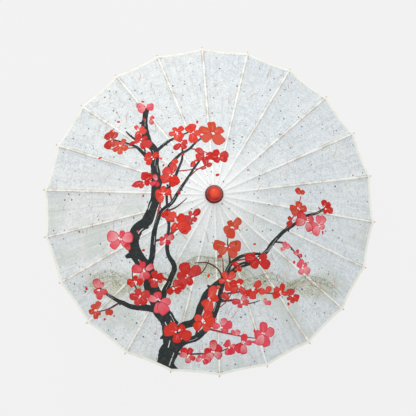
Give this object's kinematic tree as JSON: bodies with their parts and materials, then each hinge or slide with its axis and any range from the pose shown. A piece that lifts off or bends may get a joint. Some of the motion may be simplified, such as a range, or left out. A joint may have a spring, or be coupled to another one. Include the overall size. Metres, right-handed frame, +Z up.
{
  "type": "oil paper umbrella",
  "caption": "Folding oil-paper umbrella: bamboo ribs and stretchers, sliding runner with spring catch, painted paper canopy, red knob finial and wooden grip.",
  "frame": {"origin": "on the shaft's axis at the bottom of the end cap", "axes": "+Z up the shaft towards the knob, +X along rib_01"},
  "size_m": [0.8442, 0.8362, 0.553],
  "materials": {
    "oiled_paper": "oiled, painted",
    "binding_paper": "oiled",
    "bamboo": "split bamboo, scraped smooth",
    "shaft_wood": "clear lacquer",
    "hub_wood": "turned, waxed",
    "grip_wood": "dark red-brown lacquer",
    "red_lacquer": "glossy lacquer",
    "dark_lacquer": "glossy lacquer",
    "steel_wire": "drawn wire",
    "spring_steel": "spring steel"
  },
  "bodies": {
    "frame_root": {"shaft": "shaft_wood", "top_hub": "hub_wood", "top_hub_wire": "steel_wire", "finial_collar": "dark_lacquer", "finial_knob": "red_lacquer", "canopy": "oiled_paper", "rim_binding": "binding_paper", "stop_pin": "bamboo", "catch_pin": "steel_wire", "handle_grip": "grip_wood", "end_cap": "dark_lacquer"},
    "rib_01": {"rib_01": "bamboo"},
    "stretcher_01": {"stretcher_01": "bamboo"},
    "rib_02": {"rib_02": "bamboo"},
    "stretcher_02": {"stretcher_02": "bamboo"},
    "rib_03": {"rib_03": "bamboo"},
    "stretcher_03": {"stretcher_03": "bamboo"},
    "rib_04": {"rib_04": "bamboo"},
    "stretcher_04": {"stretcher_04": "bamboo"},
    "rib_05": {"rib_05": "bamboo"},
    "stretcher_05": {"stretcher_05": "bamboo"},
    "rib_06": {"rib_06": "bamboo"},
    "stretcher_06": {"stretcher_06": "bamboo"},
    "rib_07": {"rib_07": "bamboo"},
    "stretcher_07": {"stretcher_07": "bamboo"},
    "rib_08": {"rib_08": "bamboo"},
    "stretcher_08": {"stretcher_08": "bamboo"},
    "rib_09": {"rib_09": "bamboo"},
    "stretcher_09": {"stretcher_09": "bamboo"},
    "rib_10": {"rib_10": "bamboo"},
    "stretcher_10": {"stretcher_10": "bamboo"},
    "rib_11": {"rib_11": "bamboo"},
    "stretcher_11": {"stretcher_11": "bamboo"},
    "rib_12": {"rib_12": "bamboo"},
    "stretcher_12": {"stretcher_12": "bamboo"},
    "rib_13": {"rib_13": "bamboo"},
    "stretcher_13": {"stretcher_13": "bamboo"},
    "rib_14": {"rib_14": "bamboo"},
    "stretcher_14": {"stretcher_14": "bamboo"},
    "rib_15": {"rib_15": "bamboo"},
    "stretcher_15": {"stretcher_15": "bamboo"},
    "rib_16": {"rib_16": "bamboo"},
    "stretcher_16": {"stretcher_16": "bamboo"},
    "rib_17": {"rib_17": "bamboo"},
    "stretcher_17": {"stretcher_17": "bamboo"},
    "rib_18": {"rib_18": "bamboo"},
    "stretcher_18": {"stretcher_18": "bamboo"},
    "rib_19": {"rib_19": "bamboo"},
    "stretcher_19": {"stretcher_19": "bamboo"},
    "rib_20": {"rib_20": "bamboo"},
    "stretcher_20": {"stretcher_20": "bamboo"},
    "rib_21": {"rib_21": "bamboo"},
    "stretcher_21": {"stretcher_21": "bamboo"},
    "rib_22": {"rib_22": "bamboo"},
    "stretcher_22": {"stretcher_22": "bamboo"},
    "runner": {"runner": "hub_wood", "runner_wire": "steel_wire"},
    "catch": {"catch_spring": "spring_steel"}
  },
  "joints": [
    {"name": "canopy_fold", "type": "hinge", "parent": "frame_root", "child": "rib_01", "pos_m": [0.015, 0, 0.52], "axis": [0, 1, 0], "range_deg": [0, 65], "deforming": ["canopy", "rim_binding", "catch_spring"]},
    {"name": "stretcher_fold_01", "type": "hinge", "parent": "rib_01", "child": "stretcher_01", "pos_m": [0.2037, 0, 0.4399], "axis": [0, 1, 0], "range_deg": [-130, 0]},
    {"name": "rib_fold_02", "type": "hinge", "parent": "frame_root", "child": "rib_02", "pos_m": [0.01439, 0.00423, 0.52], "axis": [-0.2817, 0.9595, 0], "range_deg": [0, 65]},
    {"name": "stretcher_fold_02", "type": "hinge", "parent": "rib_02", "child": "stretcher_02", "pos_m": [0.19545, 0.05739, 0.4399], "axis": [-0.2817, 0.9595, 0], "range_deg": [-130, 0]},
    {"name": "rib_fold_03", "type": "hinge", "parent": "frame_root", "child": "rib_03", "pos_m": [0.01262, 0.00811, 0.52], "axis": [-0.5406, 0.8413, 0], "range_deg": [0, 65]},
    {"name": "stretcher_fold_03", "type": "hinge", "parent": "rib_03", "child": "stretcher_03", "pos_m": [0.17137, 0.11013, 0.4399], "axis": [-0.5406, 0.8413, 0], "range_deg": [-130, 0]},
    {"name": "rib_fold_04", "type": "hinge", "parent": "frame_root", "child": "rib_04", "pos_m": [0.00982, 0.01134, 0.52], "axis": [-0.7557, 0.6549, 0], "range_deg": [0, 65]},
    {"name": "stretcher_fold_04", "type": "hinge", "parent": "rib_04", "child": "stretcher_04", "pos_m": [0.1334, 0.15395, 0.4399], "axis": [-0.7557, 0.6549, 0], "range_deg": [-130, 0]},
    {"name": "rib_fold_05", "type": "hinge", "parent": "frame_root", "child": "rib_05", "pos_m": [0.00623, 0.01364, 0.52], "axis": [-0.9096, 0.4154, 0], "range_deg": [0, 65]},
    {"name": "stretcher_fold_05", "type": "hinge", "parent": "rib_05", "child": "stretcher_05", "pos_m": [0.08462, 0.1853, 0.4399], "axis": [-0.9096, 0.4154, 0], "range_deg": [-130, 0]},
    {"name": "rib_fold_06", "type": "hinge", "parent": "frame_root", "child": "rib_06", "pos_m": [0.00213, 0.01485, 0.52], "axis": [-0.9898, 0.1423, 0], "range_deg": [0, 65]},
    {"name": "stretcher_fold_06", "type": "hinge", "parent": "rib_06", "child": "stretcher_06", "pos_m": [0.02899, 0.20163, 0.4399], "axis": [-0.9898, 0.1423, 0], "range_deg": [-130, 0]},
    {"name": "rib_fold_07", "type": "hinge", "parent": "frame_root", "child": "rib_07", "pos_m": [-0.00213, 0.01485, 0.52], "axis": [-0.9898, -0.1423, 0], "range_deg": [0, 65]},
    {"name": "stretcher_fold_07", "type": "hinge", "parent": "rib_07", "child": "stretcher_07", "pos_m": [-0.02899, 0.20163, 0.4399], "axis": [-0.9898, -0.1423, 0], "range_deg": [-130, 0]},
    {"name": "rib_fold_08", "type": "hinge", "parent": "frame_root", "child": "rib_08", "pos_m": [-0.00623, 0.01364, 0.52], "axis": [-0.9096, -0.4154, 0], "range_deg": [0, 65]},
    {"name": "stretcher_fold_08", "type": "hinge", "parent": "rib_08", "child": "stretcher_08", "pos_m": [-0.08462, 0.1853, 0.4399], "axis": [-0.9096, -0.4154, 0], "range_deg": [-130, 0]},
    {"name": "rib_fold_09", "type": "hinge", "parent": "frame_root", "child": "rib_09", "pos_m": [-0.00982, 0.01134, 0.52], "axis": [-0.7557, -0.6549, 0], "range_deg": [0, 65]},
    {"name": "stretcher_fold_09", "type": "hinge", "parent": "rib_09", "child": "stretcher_09", "pos_m": [-0.1334, 0.15395, 0.4399], "axis": [-0.7557, -0.6549, 0], "range_deg": [-130, 0]},
    {"name": "rib_fold_10", "type": "hinge", "parent": "frame_root", "child": "rib_10", "pos_m": [-0.01262, 0.00811, 0.52], "axis": [-0.5406, -0.8413, 0], "range_deg": [0, 65]},
    {"name": "stretcher_fold_10", "type": "hinge", "parent": "rib_10", "child": "stretcher_10", "pos_m": [-0.17137, 0.11013, 0.4399], "axis": [-0.5406, -0.8413, 0], "range_deg": [-130, 0]},
    {"name": "rib_fold_11", "type": "hinge", "parent": "frame_root", "child": "rib_11", "pos_m": [-0.01439, 0.00423, 0.52], "axis": [-0.2817, -0.9595, 0], "range_deg": [0, 65]},
    {"name": "stretcher_fold_11", "type": "hinge", "parent": "rib_11", "child": "stretcher_11", "pos_m": [-0.19545, 0.05739, 0.4399], "axis": [-0.2817, -0.9595, 0], "range_deg": [-130, 0]},
    {"name": "rib_fold_12", "type": "hinge", "parent": "frame_root", "child": "rib_12", "pos_m": [-0.015, 0, 0.52], "axis": [0, -1, 0], "range_deg": [0, 65]},
    {"name": "stretcher_fold_12", "type": "hinge", "parent": "rib_12", "child": "stretcher_12", "pos_m": [-0.2037, 0, 0.4399], "axis": [0, -1, 0], "range_deg": [-130, 0]},
    {"name": "rib_fold_13", "type": "hinge", "parent": "frame_root", "child": "rib_13", "pos_m": [-0.01439, -0.00423, 0.52], "axis": [0.2817, -0.9595, 0], "range_deg": [0, 65]},
    {"name": "stretcher_fold_13", "type": "hinge", "parent": "rib_13", "child": "stretcher_13", "pos_m": [-0.19545, -0.05739, 0.4399], "axis": [0.2817, -0.9595, 0], "range_deg": [-130, 0]},
    {"name": "rib_fold_14", "type": "hinge", "parent": "frame_root", "child": "rib_14", "pos_m": [-0.01262, -0.00811, 0.52], "axis": [0.5406, -0.8413, 0], "range_deg": [0, 65]},
    {"name": "stretcher_fold_14", "type": "hinge", "parent": "rib_14", "child": "stretcher_14", "pos_m": [-0.17137, -0.11013, 0.4399], "axis": [0.5406, -0.8413, 0], "range_deg": [-130, 0]},
    {"name": "rib_fold_15", "type": "hinge", "parent": "frame_root", "child": "rib_15", "pos_m": [-0.00982, -0.01134, 0.52], "axis": [0.7557, -0.6549, 0], "range_deg": [0, 65]},
    {"name": "stretcher_fold_15", "type": "hinge", "parent": "rib_15", "child": "stretcher_15", "pos_m": [-0.1334, -0.15395, 0.4399], "axis": [0.7557, -0.6549, 0], "range_deg": [-130, 0]},
    {"name": "rib_fold_16", "type": "hinge", "parent": "frame_root", "child": "rib_16", "pos_m": [-0.00623, -0.01364, 0.52], "axis": [0.9096, -0.4154, 0], "range_deg": [0, 65]},
    {"name": "stretcher_fold_16", "type": "hinge", "parent": "rib_16", "child": "stretcher_16", "pos_m": [-0.08462, -0.1853, 0.4399], "axis": [0.9096, -0.4154, 0], "range_deg": [-130, 0]},
    {"name": "rib_fold_17", "type": "hinge", "parent": "frame_root", "child": "rib_17", "pos_m": [-0.00213, -0.01485, 0.52], "axis": [0.9898, -0.1423, 0], "range_deg": [0, 65]},
    {"name": "stretcher_fold_17", "type": "hinge", "parent": "rib_17", "child": "stretcher_17", "pos_m": [-0.02899, -0.20163, 0.4399], "axis": [0.9898, -0.1423, 0], "range_deg": [-130, 0]},
    {"name": "rib_fold_18", "type": "hinge", "parent": "frame_root", "child": "rib_18", "pos_m": [0.00213, -0.01485, 0.52], "axis": [0.9898, 0.1423, 0], "range_deg": [0, 65]},
    {"name": "stretcher_fold_18", "type": "hinge", "parent": "rib_18", "child": "stretcher_18", "pos_m": [0.02899, -0.20163, 0.4399], "axis": [0.9898, 0.1423, 0], "range_deg": [-130, 0]},
    {"name": "rib_fold_19", "type": "hinge", "parent": "frame_root", "child": "rib_19", "pos_m": [0.00623, -0.01364, 0.52], "axis": [0.9096, 0.4154, 0], "range_deg": [0, 65]},
    {"name": "stretcher_fold_19", "type": "hinge", "parent": "rib_19", "child": "stretcher_19", "pos_m": [0.08462, -0.1853, 0.4399], "axis": [0.9096, 0.4154, 0], "range_deg": [-130, 0]},
    {"name": "rib_fold_20", "type": "hinge", "parent": "frame_root", "child": "rib_20", "pos_m": [0.00982, -0.01134, 0.52], "axis": [0.7557, 0.6549, 0], "range_deg": [0, 65]},
    {"name": "stretcher_fold_20", "type": "hinge", "parent": "rib_20", "child": "stretcher_20", "pos_m": [0.1334, -0.15395, 0.4399], "axis": [0.7557, 0.6549, 0], "range_deg": [-130, 0]},
    {"name": "rib_fold_21", "type": "hinge", "parent": "frame_root", "child": "rib_21", "pos_m": [0.01262, -0.00811, 0.52], "axis": [0.5406, 0.8413, 0], "range_deg": [0, 65]},
    {"name": "stretcher_fold_21", "type": "hinge", "parent": "rib_21", "child": "stretcher_21", "pos_m": [0.17137, -0.11013, 0.4399], "axis": [0.5406, 0.8413, 0], "range_deg": [-130, 0]},
    {"name": "rib_fold_22", "type": "hinge", "parent": "frame_root", "child": "rib_22", "pos_m": [0.01439, -0.00423, 0.52], "axis": [0.2817, 0.9595, 0], "range_deg": [0, 65]},
    {"name": "stretcher_fold_22", "type": "hinge", "parent": "rib_22", "child": "stretcher_22", "pos_m": [0.19545, -0.05739, 0.4399], "axis": [0.2817, 0.9595, 0], "range_deg": [-130, 0]},
    {"name": "runner_level", "type": "hinge", "parent": "stretcher_01", "child": "runner", "pos_m": [0.015, 0, 0.3598], "axis": [0, 1, 0], "range_deg": [0, 65]},
    {"name": "catch_press", "type": "hinge", "parent": "frame_root", "child": "catch", "pos_m": [0.002, 0, 0.3], "axis": [0, -1, 0], "range_deg": [0, 9], "stiffness_Nm_per_rad": 0.05}
  ],
  "couplings": [
    {"joint": "stretcher_fold_01", "follows": "canopy_fold", "ratio": -2},
    {"joint": "rib_fold_02", "follows": "canopy_fold", "ratio": 1},
    {"joint": "stretcher_fold_02", "follows": "canopy_fold", "ratio": -2},
    {"joint": "rib_fold_03", "follows": "canopy_fold", "ratio": 1},
    {"joint": "stretcher_fold_03", "follows": "canopy_fold", "ratio": -2},
    {"joint": "rib_fold_04", "follows": "canopy_fold", "ratio": 1},
    {"joint": "stretcher_fold_04", "follows": "canopy_fold", "ratio": -2},
    {"joint": "rib_fold_05", "follows": "canopy_fold", "ratio": 1},
    {"joint": "stretcher_fold_05", "follows": "canopy_fold", "ratio": -2},
    {"joint": "rib_fold_06", "follows": "canopy_fold", "ratio": 1},
    {"joint": "stretcher_fold_06", "follows": "canopy_fold", "ratio": -2},
    {"joint": "rib_fold_07", "follows": "canopy_fold", "ratio": 1},
    {"joint": "stretcher_fold_07", "follows": "canopy_fold", "ratio": -2},
    {"joint": "rib_fold_08", "follows": "canopy_fold", "ratio": 1},
    {"joint": "stretcher_fold_08", "follows": "canopy_fold", "ratio": -2},
    {"joint": "rib_fold_09", "follows": "canopy_fold", "ratio": 1},
    {"joint": "stretcher_fold_09", "follows": "canopy_fold", "ratio": -2},
    {"joint": "rib_fold_10", "follows": "canopy_fold", "ratio": 1},
    {"joint": "stretcher_fold_10", "follows": "canopy_fold", "ratio": -2},
    {"joint": "rib_fold_11", "follows": "canopy_fold", "ratio": 1},
    {"joint": "stretcher_fold_11", "follows": "canopy_fold", "ratio": -2},
    {"joint": "rib_fold_12", "follows": "canopy_fold", "ratio": 1},
    {"joint": "stretcher_fold_12", "follows": "canopy_fold", "ratio": -2},
    {"joint": "rib_fold_13", "follows": "canopy_fold", "ratio": 1},
    {"joint": "stretcher_fold_13", "follows": "canopy_fold", "ratio": -2},
    {"joint": "rib_fold_14", "follows": "canopy_fold", "ratio": 1},
    {"joint": "stretcher_fold_14", "follows": "canopy_fold", "ratio": -2},
    {"joint": "rib_fold_15", "follows": "canopy_fold", "ratio": 1},
    {"joint": "stretcher_fold_15", "follows": "canopy_fold", "ratio": -2},
    {"joint": "rib_fold_16", "follows": "canopy_fold", "ratio": 1},
    {"joint": "stretcher_fold_16", "follows": "canopy_fold", "ratio": -2},
    {"joint": "rib_fold_17", "follows": "canopy_fold", "ratio": 1},
    {"joint": "stretcher_fold_17", "follows": "canopy_fold", "ratio": -2},
    {"joint": "rib_fold_18", "follows": "canopy_fold", "ratio": 1},
    {"joint": "stretcher_fold_18", "follows": "canopy_fold", "ratio": -2},
    {"joint": "rib_fold_19", "follows": "canopy_fold", "ratio": 1},
    {"joint": "stretcher_fold_19", "follows": "canopy_fold", "ratio": -2},
    {"joint": "rib_fold_20", "follows": "canopy_fold", "ratio": 1},
    {"joint": "stretcher_fold_20", "follows": "canopy_fold", "ratio": -2},
    {"joint": "rib_fold_21", "follows": "canopy_fold", "ratio": 1},
    {"joint": "stretcher_fold_21", "follows": "canopy_fold", "ratio": -2},
    {"joint": "rib_fold_22", "follows": "canopy_fold", "ratio": 1},
    {"joint": "stretcher_fold_22", "follows": "canopy_fold", "ratio": -2},
    {"joint": "runner_level", "follows": "canopy_fold", "ratio": 1}
  ]
}
